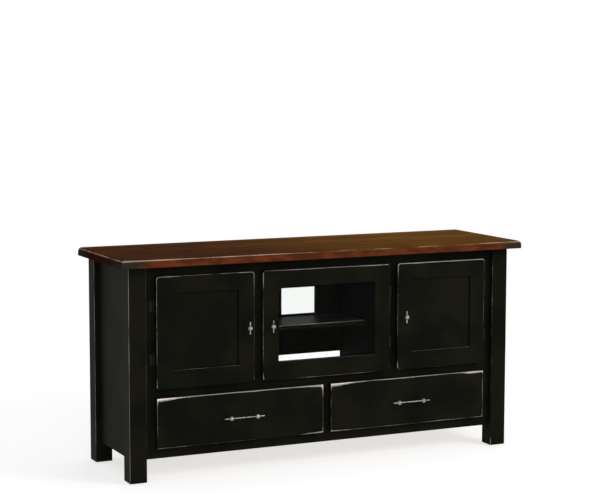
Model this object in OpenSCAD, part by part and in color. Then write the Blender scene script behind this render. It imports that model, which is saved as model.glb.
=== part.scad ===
// Media stand of solid wood: four square posts carry a thick overhanging top,
// a face frame with three overlay doors above two overlay drawers, flat side
// panels set back from the posts, and a back with a cable opening and a slot.
// Millimetres, +Z up, front towards -Y, origin at the bottom centre.

/* [Overall] */
// Width over the top
overall_w = 1516; // [1440:1:1640]
// Depth over the top
overall_d = 450; // [430:1:560]
// Height to the top surface
overall_h = 750; // [720:1:840]

/* [Top] */
// Thickness of the top
top_t = 28; // [20:1:38]
// Overhang of the top past the posts at each side
top_side_overhang = 36; // [10:1:50]
// Overhang of the top past the front posts
top_front_overhang = 38; // [36:1:50]
// Overhang of the top past the rear posts
top_back_overhang = 4; // [0:1:12]
// Radius of the rounded upper edge of the top
top_round_r = 13; // [3:0.5:16]
// Radius of the upper edge of the top at the back
top_back_r = 3; // [1:0.5:16]

/* [Posts] */
// Side of a square post
post_w = 60; // [54:1:66]
// Radius of the eased long edges of a post
post_edge_r = 2.5; // [0.5:0.5:6]
// Radius of a foot glide
glide_r = 12; // [8:1:18]
// Thickness of a foot glide
glide_t = 6; // [4:0.5:10]
// How far a glide stands out below its post
glide_proud = 2; // [1:0.5:3]
// Clearance round a glide in its pocket
glide_clear = 0.2; // [0.1:0.1:0.5]

/* [Carcase] */
// Distance from the outer face of a post to the side panel
side_setback = 17; // [8:1:24]
// Thickness of a side panel
side_t = 16; // [12:1:20]
// Height of the lower edge of a side panel
side_bottom_z = 73; // [50:1:84]
// Thickness of the two upright partitions
partition_t = 18; // [17:1:22]
// Distance from the inner edge of a mullion to the partition behind it
partition_inset = 12.5; // [4:0.5:20]
// Thickness of the deck under the doors
deck_t = 16; // [12:1:17]
// Distance from the top of the middle rail down to the deck's surface
deck_drop = 32; // [24:1:32]
// Thickness of the floor under the drawers
floor_t = 12; // [8:1:18]
// Height of the floor above the lower edge of the bottom rail
floor_lift = 10; // [2:1:20]
// Thickness of the partition between the drawers
drawer_partition_t = 18; // [14:1:24]
// Thickness of the back panels
back_t = 12; // [6:1:16]
// Distance from the rear faces of the posts to the back panels
back_setback = 4; // [0:1:12]
// Height of the open slot under the centre back panel
slot_h = 32; // [15:1:60]
// Width of the cable opening
cable_w = 138; // [80:1:200]
// Height of the cable opening
cable_h = 98; // [40:1:140]
// Distance from the middle of the back to the middle of the cable opening
cable_x = 76; // [-100:1:100]
// Height of the cable opening above the centre shelf
cable_lift = 6; // [2:1:30]
// Depth of the battens that hold the top
batten_d = 20; // [14:1:30]
// Height of the battens that hold the top
batten_h = 25; // [18:1:35]

/* [Shelves] */
// Thickness of a shelf
shelf_t = 18; // [12:1:24]
// Height of a shelf's surface above the deck
shelf_lift = 174; // [120:1:220]
// Depth of the centre shelf
centre_shelf_d = 198; // [150:1:300]
// Depth of the two side shelves
side_shelf_d = 280; // [200:1:320]
// Clearance between a shelf and what stands beside it
shelf_clear = 0.5; // [0.3:0.1:1.5]
// Radius of a shelf pin
pin_r = 2.5; // [2:0.5:4]
// Length of a shelf pin inside its panel
pin_in = 8; // [5:0.5:8]
// Length of a shelf pin under its shelf
pin_out = 9; // [6:0.5:14]
// Clearance round a shelf pin in its hole
pin_clear = 0.1; // [0.05:0.05:0.2]
// Distance of a shelf pin from the shelf's front edge or the rear post
pin_margin = 25; // [15:1:40]

/* [Face frame] */
// Distance from the front of the posts back to the face frame
frame_setback = 20; // [16:1:26]
// Thickness of the face frame
frame_t = 20; // [16:1:25]
// Height of the lower edge of the face frame
frame_bottom_z = 75; // [50:1:90]
// Frame that shows beside the outer doors and drawers
side_reveal = 36; // [30:1:44]
// Frame that shows above the doors
top_reveal = 35; // [20:1:50]
// Frame that shows below the drawers
bottom_reveal = 37; // [20:1:50]
// Frame that shows between two doors
door_spacing = 32; // [29:1:40]
// Frame that shows between the two drawers
drawer_spacing = 30; // [24:1:40]
// Frame that shows between the drawers and the doors
middle_reveal = 29; // [22:1:40]
// How far a door or drawer front laps over the frame
overlay = 10; // [8:1:14]

/* [Doors] */
// Width of the centre door
centre_door_w = 485; // [430:1:540]
// Thickness of the doors and drawer fronts
front_t = 21; // [19:0.5:24]
// Space between the face frame and a closed door or drawer front
front_gap = 2; // [1.9:0.1:3]
// Width of a door stile
stile_w = 58; // [50:1:70]
// Width of a door's upper rail
upper_rail_w = 58; // [45:1:75]
// Width of a door's lower rail
lower_rail_w = 62; // [45:1:75]
// Depth of the groove round a wooden panel
groove_d = 10; // [6:0.5:12]
// Width of the groove round a wooden panel
groove_w = 6.4; // [5:0.1:8]
// Thickness of the wood in front of the groove
groove_lip = 6.5; // [5:0.5:7.5]
// Width of the bevel round the raised panel
bevel_w = 46; // [25:1:70]
// Distance from a stile's face back to the raised field
field_setback = 1.5; // [0:0.5:4]
// Clearance of a tongue in its groove, on each side
tongue_clear = 0.2; // [0.1:0.1:0.4]
// Clearance of a panel or pane at its edges
edge_clear = 1; // [0.5:0.5:2]
// Thickness of the glass
glass_t = 4; // [3:0.5:5]
// Width of the rebate that holds the glass
rebate_w = 10; // [7:0.5:14]
// Thickness of the wood in front of the glass
rebate_lip = 9; // [6:0.5:11]

/* [Hinges] */
// Height of a hinge
hinge_h = 38; // [30:1:60]
// Distance from a door's end to the middle of the hinge
hinge_inset = 99; // [60:1:130]
// Radius of the hinge barrel
knuckle_r = 3.5; // [3:0.1:3.8]
// Radius of the hinge pin
hinge_pin_r = 1.5; // [1.2:0.1:1.8]
// Running clearance round the hinge pin
hinge_pin_clear = 0.05; // [0.02:0.01:0.1]
// Space between the barrel and the door's edge, and between barrel and frame
barrel_gap = 0.5; // [0.4:0.1:0.8]
// Thickness of a hinge leaf
leaf_t = 1.4; // [1:0.1:1.5]
// Width of the leaf on the face frame, from the pin
frame_leaf_w = 13; // [10:0.5:16]
// Width of the leaf behind the door, from the pin
door_leaf_w = 30; // [20:1:45]
// Height of the middle knuckle
middle_knuckle_h = 14; // [10:1:18]
// Clearance between two knuckles
knuckle_clear = 0.3; // [0.2:0.1:0.6]
// Radius of a screw head on the frame's leaf
leaf_screw_r = 2.4; // [1.5:0.1:3]
// Height of a screw head on the frame's leaf
leaf_screw_h = 0.6; // [0.3:0.1:1]

/* [Drawers] */
// Height of a drawer front
drawer_h = 169; // [145:1:195]
// Space between the drawer box and the middle rail above it
box_headroom = 15; // [8:1:50]
// Space between the drawer box and the back panel
box_back_space = 34; // [15:1:90]
// Thickness of the drawer box's walls
box_wall = 14; // [10:1:18]
// Thickness of the drawer's bottom
box_bottom_t = 6; // [4:0.5:9]
// Height of the drawer's bottom above the walls' lower edges
box_bottom_lift = 10; // [6:1:16]
// Depth of the groove for the drawer's bottom
box_groove_d = 5; // [3:0.5:7]
// Height of the drawer box above the bottom rail
box_lift = 8; // [3:1:10]
// Space for a slide at each side of the drawer box
slide_space = 13; // [12:0.5:16]

/* [Slides] */
// Distance from the back of a drawer front to its slides
slide_short = 4; // [4:1:40]
// Height of a slide
slide_h = 36; // [25:1:45]
// Thickness of the slide's steel
slide_steel = 1.5; // [1:0.1:2]
// Running clearance between the two members of a slide
slide_clear = 0.4; // [0.3:0.1:0.6]
// Height of a slide's middle above the lower edge of the drawer box
slide_rise = 64; // [45:1:80]
// Height of the spacer behind a slide
spacer_h = 46; // [40:1:60]
// Thickness of the outer spacers
outer_spacer_t = 18; // [14:1:24]

/* [Knobs and pulls] */
// Radius of a knob's ball
knob_ball_r = 8.5; // [6:0.5:12]
// Distance from a door's face to the middle of the ball
knob_reach = 21; // [17:0.5:22]
// Distance of an outer door's knob from the edge of its door
knob_edge = 25; // [15:0.5:30]
// Length of the small bar through a knob
knob_bar_l = 44; // [30:1:60]
// Radius of the small bar through a knob
knob_bar_r = 2.4; // [1.5:0.1:3.5]
// Distance between the posts of a pull
pull_spacing = 96; // [64:1:160]
// Length of a pull's bar
pull_l = 147; // [110:1:230]
// Radius of a pull's bar
pull_bar_r = 2.2; // [1.8:0.1:4]
// Radius of a pull's ball
pull_ball_r = 8; // [5:0.5:9]
// Distance from a drawer's face to a pull's bar
pull_reach = 22; // [18:0.5:24]
// Length of the pointed ends of the bars
point_l = 9; // [5:0.5:14]
// Radius of a pointed end's tip
tip_r = 0.9; // [0.5:0.1:1.5]
// Radius of the stem of a knob or pull
stem_r = 3.6; // [3:0.1:5]
// Radius of the foot of a stem
foot_r = 6; // [5:0.5:9]
// Thickness of the foot of a stem
foot_t = 2.5; // [1.5:0.5:4]
// Radius of the threaded stud in the wood
stud_r = 2; // [1.5:0.1:2.5]
// Length of the threaded stud in the wood
stud_l = 13; // [8:0.5:16]
// Clearance round the stud
stud_clear = 0.2; // [0.1:0.1:0.4]

/* [Bumpers] */
// Radius of a soft bumper
bumper_r = 4; // [3:0.5:4]
// Space left between a bumper and a closed door or drawer
bumper_clear = 0.3; // [0.2:0.1:0.5]
// Distance of a bumper from a door's or drawer's end
bumper_margin = 40; // [20:1:60]

/* [Hidden] */
$fn = 48;
paint = "#2b2b26";
stain = "#5c3220";
raw_wood = "#c9a878";
pewter = "#8f8c84";
steel = "#b5b7ba";
dark_steel = "#2e2d2b";

// Planes across the depth
front_y = -overall_d / 2 + top_front_overhang;
rear_y = overall_d / 2 - top_back_overhang;
frame_y = front_y + frame_setback;
frame_back_y = frame_y + frame_t;
door_back_y = frame_y - front_gap;
door_y = door_back_y - front_t;
back_y = rear_y - back_setback - back_t;
pivot_y = frame_y - barrel_gap - knuckle_r;

// Planes across the width
post_x = overall_w / 2 - top_side_overhang;
inner_x = post_x - post_w;
side_x = post_x - side_setback - side_t;
front_x = inner_x - side_reveal;
open_x = front_x - overlay;
centre_x = centre_door_w / 2;
mullion_x = centre_x - overlay;
side_door_x = centre_x + door_spacing;
side_open_x = side_door_x + overlay;
side_knob_x = side_door_x + knob_edge;
centre_knob_x = centre_x - stile_w / 2;
partition_x = mullion_x + partition_inset;
drawer_x = drawer_spacing / 2;
drawer_open_x = drawer_x + overlay;

// Heights
under_z = overall_h - top_t;
drawer_z = frame_bottom_z + bottom_reveal;
door_z = drawer_z + drawer_h + middle_reveal;
door_top_z = under_z - top_reveal;
bottom_rail_z = drawer_z + overlay;
middle_rail_z = drawer_z + drawer_h - overlay;
middle_rail_top_z = door_z + overlay;
top_rail_z = door_top_z - overlay;
deck_z = middle_rail_top_z - deck_drop;
floor_z = frame_bottom_z + floor_lift;
shelf_z = deck_z + shelf_lift;
knob_z = (door_z + door_top_z) / 2;
pull_z = drawer_z + drawer_h / 2;
box_z = bottom_rail_z + box_lift;
box_top_z = middle_rail_z - box_headroom;
slide_z = box_z + slide_rise;
bump_t = front_gap - bumper_clear;

// A board between two opposite corners
module board(low, high) {
    translate(low)
        cube(high - low);
}

// A square outline with round corners, centred
module eased_square(side, r) {
    square([side - 2 * r, side], center = true);
    square([side, side - 2 * r], center = true);
    for (x = [-1, 1], y = [-1, 1])
        translate([x * (side / 2 - r), y * (side / 2 - r)])
            circle(r);
}

// The outline of the top across one direction, with its upper corners round
module top_outline(width, low_end_r, high_end_r) {
    translate([-width / 2, 0])
        square([width / 2, top_t - low_end_r]);
    square([width / 2, top_t - high_end_r]);
    translate([-width / 2 + low_end_r, 0])
        square([width - low_end_r - high_end_r, top_t]);
    translate([-width / 2 + low_end_r, top_t - low_end_r])
        circle(low_end_r);
    translate([width / 2 - high_end_r, top_t - high_end_r])
        circle(high_end_r);
}

module top() {
    color(stain)
        translate([0, 0, under_z])
            intersection() {
                rotate([90, 0, 0])
                    linear_extrude(overall_d, center = true)
                        top_outline(overall_w, top_round_r, top_round_r);
                rotate([90, 0, 90])
                    linear_extrude(overall_w, center = true)
                        top_outline(overall_d, top_round_r, top_back_r);
            }
}

// A post with a pocket for its glide; x and y give its middle
module post(x, y) {
    color(paint)
        difference() {
            translate([x, y, glide_proud])
                linear_extrude(under_z - glide_proud)
                    eased_square(post_w, post_edge_r);
            translate([x, y, 0])
                cylinder(h = glide_t, r = glide_r + glide_clear);
        }
}

post_mid_x = post_x - post_w / 2;
post_front_mid_y = front_y + post_w / 2;
post_back_mid_y = rear_y - post_w / 2;

module foot_glides() {
    color(dark_steel)
        for (x = [-1, 1], y = [post_front_mid_y, post_back_mid_y])
            translate([x * post_mid_x, y, 0])
                cylinder(h = glide_t, r = glide_r);
}

// Side panels stand between the posts, set back from their outer faces
module side_panel(side) {
    color(paint)
        difference() {
            board([side > 0 ? side_x : -side_x - side_t, front_y + post_w, side_bottom_z],
                  [side > 0 ? side_x + side_t : -side_x, rear_y - post_w, under_z]);
            side_panel_pins(side, pin_clear);
        }
}

// The face frame
module frame_stile(side) {
    color(paint)
        board([side > 0 ? open_x : -inner_x, frame_y, frame_bottom_z],
              [side > 0 ? inner_x : -open_x, frame_back_y, under_z]);
}

module frame_rail(low_z, high_z) {
    color(paint)
        board([-open_x, frame_y, low_z], [open_x, frame_back_y, high_z]);
}

module frame_mullions() {
    color(paint) {
        board([-side_open_x, frame_y, middle_rail_top_z], [-mullion_x, frame_back_y, top_rail_z]);
        board([mullion_x, frame_y, middle_rail_top_z], [side_open_x, frame_back_y, top_rail_z]);
        board([-drawer_open_x, frame_y, bottom_rail_z], [drawer_open_x, frame_back_y, middle_rail_z]);
    }
}

// A level board between the side panels, cut out round the four posts
module level_board(low_z, thick) {
    difference() {
        board([-side_x, frame_back_y, low_z], [side_x, back_y, low_z + thick]);
        for (x = [-1, 1], y = [post_front_mid_y, post_back_mid_y])
            translate([x * post_mid_x - post_w / 2, y - post_w / 2, low_z - 1])
                cube([post_w, post_w, thick + 2]);
    }
}

module deck() {
    color(paint)
        level_board(deck_z - deck_t, deck_t);
}

module floor_panel() {
    color(raw_wood)
        level_board(floor_z, floor_t);
}

module partition(side) {
    color(paint)
        difference() {
            board([side > 0 ? partition_x : -partition_x - partition_t, frame_back_y, deck_z],
                  [side > 0 ? partition_x + partition_t : -partition_x, back_y, under_z]);
            centre_pins(side, pin_clear);
            partition_pins(side, pin_clear);
        }
}

module drawer_partition() {
    color(raw_wood)
        board([-drawer_partition_t / 2, frame_back_y, floor_z + floor_t],
              [drawer_partition_t / 2, back_y, deck_z - deck_t]);
}

// The back panels meet on the middle lines of the partitions
back_split_x = partition_x + partition_t / 2;

module back_panel_side(side) {
    color(paint)
        board([side > 0 ? back_split_x : -inner_x, back_y, deck_z],
              [side > 0 ? inner_x : -back_split_x, back_y + back_t, under_z]);
}

module back_panel_centre() {
    color(paint)
        difference() {
            board([-back_split_x, back_y, deck_z + slot_h], [back_split_x, back_y + back_t, under_z]);
            translate([cable_x - cable_w / 2, back_y - 1, shelf_z + cable_lift])
                cube([cable_w, back_t + 2, cable_h]);
        }
}

module back_panel_lower() {
    color(paint)
        board([-inner_x, back_y, frame_bottom_z], [inner_x, back_y + back_t, deck_z]);
}

// Shelves lie on pins between the partitions, and behind the wooden doors
// between a partition and a side panel, cut out round the rear post
pin_z = shelf_z - shelf_t - pin_r;
pin_rear_y = rear_y - post_w - pin_margin;
shelf_back_y = back_y - shelf_clear;
shelf_side_x = partition_x + partition_t;

module centre_shelf() {
    color(paint)
        board([-partition_x + shelf_clear, shelf_back_y - centre_shelf_d, shelf_z - shelf_t],
              [partition_x - shelf_clear, shelf_back_y, shelf_z]);
}

module side_shelf(side) {
    low_x = side > 0 ? shelf_side_x + shelf_clear : -side_x + shelf_clear;
    high_x = side > 0 ? side_x - shelf_clear : -shelf_side_x - shelf_clear;
    notch = post_w + 2 * shelf_clear;
    color(paint)
        difference() {
            board([low_x, shelf_back_y - side_shelf_d, shelf_z - shelf_t], [high_x, shelf_back_y, shelf_z]);
            translate([side * post_mid_x - notch / 2, post_back_mid_y - notch / 2, shelf_z - shelf_t - 1])
                cube([notch, notch, shelf_t + 2]);
        }
}

// A pin in a wall's face at x, standing out towards dir; clear widens it into its hole
module shelf_pin(x, y, dir, clear) {
    translate([x - dir * pin_in, y, pin_z])
        rotate([0, dir * 90, 0])
            cylinder(h = pin_in + pin_out, r = pin_r + clear, $fn = 24);
}

centre_pin_ys = [shelf_back_y - centre_shelf_d + pin_margin, pin_rear_y];
side_pin_ys = [shelf_back_y - side_shelf_d + pin_margin, pin_rear_y];

module centre_pins(side, clear) {
    for (y = centre_pin_ys)
        shelf_pin(side * partition_x, y, -side, clear);
}

module partition_pins(side, clear) {
    for (y = side_pin_ys)
        shelf_pin(side * shelf_side_x, y, side, clear);
}

module side_panel_pins(side, clear) {
    for (y = side_pin_ys)
        shelf_pin(side * side_x, y, -side, clear);
}

module shelf_pins() {
    color(steel)
        for (side = [-1, 1]) {
            centre_pins(side, 0);
            partition_pins(side, 0);
            side_panel_pins(side, 0);
        }
}

// Battens under the top, front and back in each bay
module top_battens() {
    bays = [[-inner_x, -shelf_side_x], [-partition_x, partition_x], [shelf_side_x, inner_x]];
    color(raw_wood)
        for (bay = bays, y = [frame_back_y, back_y - batten_d])
            board([bay[0], y, under_z - batten_h], [bay[1], y + batten_d, under_z]);
}

// Spacers carry the drawer slides flush with the openings in the face frame
module slide_spacers() {
    color(raw_wood)
        for (side = [-1, 1]) {
            outer = [side * open_x, side * (open_x + outer_spacer_t)];
            inner = [side * drawer_partition_t / 2, side * drawer_open_x];
            for (pair = [outer, inner])
                board([min(pair), frame_back_y, slide_z - spacer_h / 2],
                      [max(pair), back_y, slide_z + spacer_h / 2]);
        }
}

// Slides: the cabinet's channel opens towards the drawer, and the drawer's
// channel runs inside it, open towards the cabinet
box_end_y = back_y - box_back_space;
slide_y = door_back_y + slide_short;
inner_slide_h = slide_h - 2 * (slide_steel + slide_clear);

// A channel with its web at x, opening towards dir
module slide_channel(x, dir, height, flange) {
    web = [x, x + dir * slide_steel];
    reach = [x, x + dir * flange];
    board([min(web), slide_y, slide_z - height / 2], [max(web), box_end_y, slide_z + height / 2]);
    for (z = [slide_z - height / 2, slide_z + height / 2 - slide_steel])
        board([min(reach), slide_y, z], [max(reach), box_end_y, z + slide_steel]);
}

module cabinet_slides() {
    color(steel)
        for (side = [-1, 1]) {
            slide_channel(side * open_x, -side, slide_h, slide_space - slide_clear);
            slide_channel(side * drawer_open_x, side, slide_h, slide_space - slide_clear);
        }
}

module drawer_slides(side) {
    flange = slide_space - slide_steel - slide_clear;
    color(steel) {
        slide_channel(side * (open_x - slide_space), side, inner_slide_h, flange);
        slide_channel(side * (drawer_open_x + slide_space), -side, inner_slide_h, flange);
    }
}

// Hinges: each stands beside its door's edge. dir points from the pin to the door.
hinge_zs = [door_z + hinge_inset, door_top_z - hinge_inset];
pin_offset = knuckle_r + barrel_gap;
left_pivot_x = -front_x - pin_offset;
centre_pivot_x = centre_x + pin_offset;
right_pivot_x = front_x + pin_offset;

// A leaf between two distances from the pin, on the side that dir names
module leaf(pivot_x, dir, near, far, y, z, height) {
    span = [pivot_x + dir * near, pivot_x + dir * far];
    board([min(span), y, z - height / 2], [max(span), y + leaf_t, z + height / 2]);
}

module frame_hinge(pivot_x, dir, z) {
    leaf_y = frame_y - leaf_t;
    difference() {
        union() {
            leaf(pivot_x, -dir, pin_offset, frame_leaf_w, leaf_y, z, hinge_h);
            leaf(pivot_x, -dir, 0, frame_leaf_w, leaf_y, z, middle_knuckle_h);
            translate([pivot_x, pivot_y, z - middle_knuckle_h / 2])
                cylinder(h = middle_knuckle_h, r = knuckle_r);
            for (dz = [-1, 1])
                translate([pivot_x - dir * (frame_leaf_w + pin_offset) / 2, leaf_y, z + dz * hinge_h / 3])
                    rotate([90, 0, 0])
                        cylinder(h = leaf_screw_h, r = leaf_screw_r);
        }
        translate([pivot_x, pivot_y, z - middle_knuckle_h / 2 - 1])
            cylinder(h = middle_knuckle_h + 2, r = hinge_pin_r + hinge_pin_clear);
    }
}

module door_hinge(pivot_x, dir, z) {
    gap_h = middle_knuckle_h + 2 * knuckle_clear;
    end_h = (hinge_h - gap_h) / 2;
    leaf(pivot_x, dir, pin_offset, door_leaf_w, door_back_y, z, hinge_h);
    for (dz = [-1, 1]) {
        end_z = z + dz * (gap_h + end_h) / 2;
        leaf(pivot_x, dir, 0, door_leaf_w, door_back_y, end_z, end_h);
        translate([pivot_x, pivot_y, end_z - end_h / 2])
            cylinder(h = end_h, r = knuckle_r);
    }
    translate([pivot_x, pivot_y, z - hinge_h / 2])
        cylinder(h = hinge_h, r = hinge_pin_r);
}

module frame_hinges() {
    color(dark_steel)
        for (z = hinge_zs) {
            frame_hinge(left_pivot_x, 1, z);
            frame_hinge(centre_pivot_x, -1, z);
            frame_hinge(right_pivot_x, -1, z);
        }
}

module door_hinges(pivot_x, dir) {
    color(dark_steel)
        for (z = hinge_zs)
            door_hinge(pivot_x, dir, z);
}

// Soft bumpers stand on the frame under the laps of the doors and drawer fronts
module bumper(x, z) {
    translate([x, frame_y, z])
        rotate([90, 0, 0])
            cylinder(h = bump_t, r = bumper_r);
}

module bumpers() {
    lap = overlay / 2;
    color(dark_steel) {
        for (x = [-side_door_x - lap, -centre_x + lap, side_door_x + lap], z = [door_z, door_top_z])
            bumper(x, z + (z == door_z ? 1 : -1) * bumper_margin);
        for (side = [-1, 1], x = [drawer_x + lap, front_x - lap])
            bumper(side * x, drawer_z + drawer_h - bumper_margin);
    }
}

// The hole for the stud of a knob or pull
module stud_hole(x, z) {
    translate([x, door_y + stud_l, z])
        rotate([90, 0, 0])
            cylinder(h = stud_l + 1, r = stud_r + stud_clear, $fn = 24);
}

// Wooden doors: stiles and rails grooved round a raised panel, between x0 and x1
groove_y = door_y + groove_lip;

module groove(x0, x1, z0, z1) {
    board([x0, groove_y, z0], [x1, groove_y + groove_w, z1]);
}

module door_stiles(x0, x1, knob_x) {
    color(paint)
        difference() {
            union() {
                board([x0, door_y, door_z], [x0 + stile_w, door_back_y, door_top_z]);
                board([x1 - stile_w, door_y, door_z], [x1, door_back_y, door_top_z]);
            }
            groove(x0 + stile_w - groove_d, x1 - stile_w + groove_d, door_z - 1, door_top_z + 1);
            stud_hole(knob_x, knob_z);
        }
}

// A rail and the stub tenons that fill the stiles' grooves beside it
module door_rail(x0, x1, z0, z1, groove_z0, groove_z1, tenon_z0, tenon_z1) {
    tenon = groove_d - edge_clear;
    difference() {
        board([x0 + stile_w, door_y, z0], [x1 - stile_w, door_back_y, z1]);
        groove(x0, x1, groove_z0, groove_z1);
    }
    for (x = [x0 + stile_w - tenon, x1 - stile_w])
        board([x, groove_y + tongue_clear, tenon_z0],
              [x + tenon, groove_y + groove_w - tongue_clear, tenon_z1]);
}

module door_rails(x0, x1) {
    low_z = door_z + lower_rail_w;
    high_z = door_top_z - upper_rail_w;
    color(paint) {
        door_rail(x0, x1, door_z, low_z, low_z - groove_d, low_z + 1, door_z, low_z - groove_d);
        door_rail(x0, x1, high_z, door_top_z, high_z - 1, high_z + groove_d, high_z + groove_d, door_top_z);
    }
}

// The outline of a raised panel across one direction: a tongue, a bevel, the field
module panel_outline(low, high) {
    tongue = groove_d - edge_clear;
    back = groove_w - tongue_clear;
    polygon([
        [low, back], [low, tongue_clear], [low + tongue, tongue_clear],
        [low + tongue + bevel_w, field_setback - groove_lip],
        [high - tongue - bevel_w, field_setback - groove_lip],
        [high - tongue, tongue_clear], [high, tongue_clear], [high, back]
    ]);
}

module door_panel(x0, x1) {
    inset = stile_w - groove_d + edge_clear;
    low_z = door_z + lower_rail_w - groove_d + edge_clear;
    high_z = door_top_z - upper_rail_w + groove_d - edge_clear;
    color(paint)
        translate([0, groove_y, 0])
            intersection() {
                translate([0, 0, low_z])
                    linear_extrude(high_z - low_z)
                        panel_outline(x0 + inset, x1 - inset);
                translate([x1, 0, 0])
                    rotate([0, -90, 0])
                        linear_extrude(x1 - x0)
                            panel_outline(low_z, high_z);
            }
}

// The glazed door: rebated stiles, rails lapped into them, a pane and its beads
rebate_y = door_y + rebate_lip;

module glazed_stiles(x0, x1, knob_x) {
    color(paint)
        difference() {
            union() {
                board([x0, door_y, door_z], [x0 + stile_w, door_back_y, door_top_z]);
                board([x1 - stile_w, door_y, door_z], [x1, door_back_y, door_top_z]);
            }
            board([x0 + stile_w - rebate_w, rebate_y, door_z - 1],
                  [x1 - stile_w + rebate_w, door_back_y + 1, door_top_z + 1]);
            stud_hole(knob_x, knob_z);
        }
}

module glazed_rails(x0, x1) {
    lap = stile_w - rebate_w;
    low_z = door_z + lower_rail_w;
    high_z = door_top_z - upper_rail_w;
    color(paint) {
        board([x0 + stile_w, door_y, door_z], [x1 - stile_w, rebate_y, low_z]);
        board([x0 + lap, rebate_y, door_z], [x1 - lap, door_back_y, low_z - rebate_w]);
        board([x0 + stile_w, door_y, high_z], [x1 - stile_w, rebate_y, door_top_z]);
        board([x0 + lap, rebate_y, high_z + rebate_w], [x1 - lap, door_back_y, door_top_z]);
    }
}

module glazing(x0, x1) {
    inset = stile_w - rebate_w + edge_clear;
    color("#9fb4b0", 0.35)
        board([x0 + inset, rebate_y, door_z + lower_rail_w - rebate_w + edge_clear],
              [x1 - inset, rebate_y + glass_t, door_top_z - upper_rail_w + rebate_w - edge_clear]);
}

module glazing_beads(x0, x1) {
    left = x0 + stile_w;
    right = x1 - stile_w;
    low_z = door_z + lower_rail_w - rebate_w;
    high_z = door_top_z - upper_rail_w;
    bead_y = rebate_y + glass_t;
    color(paint) {
        for (x = [left - rebate_w, right])
            board([x, bead_y, low_z], [x + rebate_w, door_back_y, high_z + rebate_w]);
        for (z = [low_z, high_z])
            board([left + tongue_clear, bead_y, z],
                  [right - tongue_clear, door_back_y, z + rebate_w]);
    }
}

// A straight bar along Z with pointed ends, centred
module pointed_bar(length, r) {
    body = length - 2 * point_l;
    cylinder(h = body, r = r, center = true);
    for (flip = [0, 180])
        rotate([flip, 0, 0])
            translate([0, 0, body / 2])
                cylinder(h = point_l, r1 = r, r2 = tip_r);
}

// A stem on a front at x, z: its stud, its foot, its shank and its ball
module stem(x, z, reach, ball_r) {
    translate([x, door_y, z])
        rotate([90, 0, 0]) {
            translate([0, 0, -stud_l + 1])
                cylinder(h = stud_l, r = stud_r);
            cylinder(h = foot_t, r = foot_r);
            cylinder(h = reach, r = stem_r);
            translate([0, 0, reach])
                sphere(ball_r);
        }
}

module knob(x) {
    color(pewter) {
        stem(x, knob_z, knob_reach, knob_ball_r);
        translate([x, door_y - knob_reach, knob_z])
            pointed_bar(knob_bar_l, knob_bar_r);
    }
}

// Drawers; side is -1 for the left one and 1 for the right one
module drawer_front(side) {
    mid_x = side * (drawer_x + front_x) / 2;
    color(paint)
        difference() {
            board([side > 0 ? drawer_x : -front_x, door_y, drawer_z],
                  [side > 0 ? front_x : -drawer_x, door_back_y, drawer_z + drawer_h]);
            for (dx = [-1, 1])
                stud_hole(mid_x + dx * pull_spacing / 2, pull_z);
        }
}

module drawer_pull(side) {
    mid_x = side * (drawer_x + front_x) / 2;
    color(pewter) {
        for (dx = [-1, 1])
            stem(mid_x + dx * pull_spacing / 2, pull_z, pull_reach, pull_ball_r);
        translate([mid_x, door_y - pull_reach, pull_z])
            rotate([0, 90, 0])
                pointed_bar(pull_l, pull_bar_r);
    }
}

box_inner = drawer_open_x + slide_space;
box_outer = open_x - slide_space;

// The bottom, or with a larger thickness the groove that holds it
module box_bottom(side, thick, into) {
    reach = box_wall - into;
    low_x = side > 0 ? box_inner + reach : -box_outer + reach;
    mid_z = box_z + box_bottom_lift + box_bottom_t / 2;
    board([low_x, door_back_y + reach, mid_z - thick / 2],
          [low_x + box_outer - box_inner - 2 * reach, box_end_y - reach, mid_z + thick / 2]);
}

module box_groove(side) {
    box_bottom(side, box_bottom_t + 2 * tongue_clear, box_groove_d);
}

module drawer_sides(side) {
    color(raw_wood)
        difference() {
            for (x = [box_inner, box_outer - box_wall])
                board([side > 0 ? x : -x - box_wall, door_back_y, box_z],
                      [side > 0 ? x + box_wall : -x, box_end_y, box_top_z]);
            box_groove(side);
        }
}

module drawer_ends(side) {
    x0 = box_inner + box_wall;
    x1 = box_outer - box_wall;
    color(raw_wood)
        difference() {
            for (y = [door_back_y, box_end_y - box_wall])
                board([side > 0 ? x0 : -x1, y, box_z], [side > 0 ? x1 : -x0, y + box_wall, box_top_z]);
            box_groove(side);
        }
}

module drawer_bottom(side) {
    color(raw_wood)
        box_bottom(side, box_bottom_t, box_groove_d - tongue_clear);
}

top();
post(-post_mid_x, post_front_mid_y);  // post_front_left
post(post_mid_x, post_front_mid_y);  // post_front_right
post(-post_mid_x, post_back_mid_y);  // post_back_left
post(post_mid_x, post_back_mid_y);  // post_back_right
side_panel(-1);  // side_panel_left
side_panel(1);  // side_panel_right
frame_stile(-1);  // frame_stile_left
frame_stile(1);  // frame_stile_right
frame_rail(top_rail_z, under_z);  // frame_top_rail
frame_rail(middle_rail_z, middle_rail_top_z);  // frame_middle_rail
frame_rail(frame_bottom_z, bottom_rail_z);  // frame_bottom_rail
frame_mullions();
partition(-1);  // partition_left
partition(1);  // partition_right
deck();
drawer_partition();
floor_panel();
back_panel_side(-1);  // back_panel_left
back_panel_centre();
back_panel_side(1);  // back_panel_right
back_panel_lower();
centre_shelf();
side_shelf(-1);  // left_shelf
side_shelf(1);  // right_shelf
shelf_pins();
top_battens();
slide_spacers();
cabinet_slides();
frame_hinges();
foot_glides();
bumpers();
door_stiles(-front_x, -side_door_x, -side_knob_x);  // door_left_stiles
door_rails(-front_x, -side_door_x);  // door_left_rails
door_panel(-front_x, -side_door_x);  // door_left_panel
knob(-side_knob_x);  // door_left_knob
door_hinges(left_pivot_x, 1);  // door_left_hinges
glazed_stiles(-centre_x, centre_x, -centre_knob_x);  // door_centre_stiles
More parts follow.
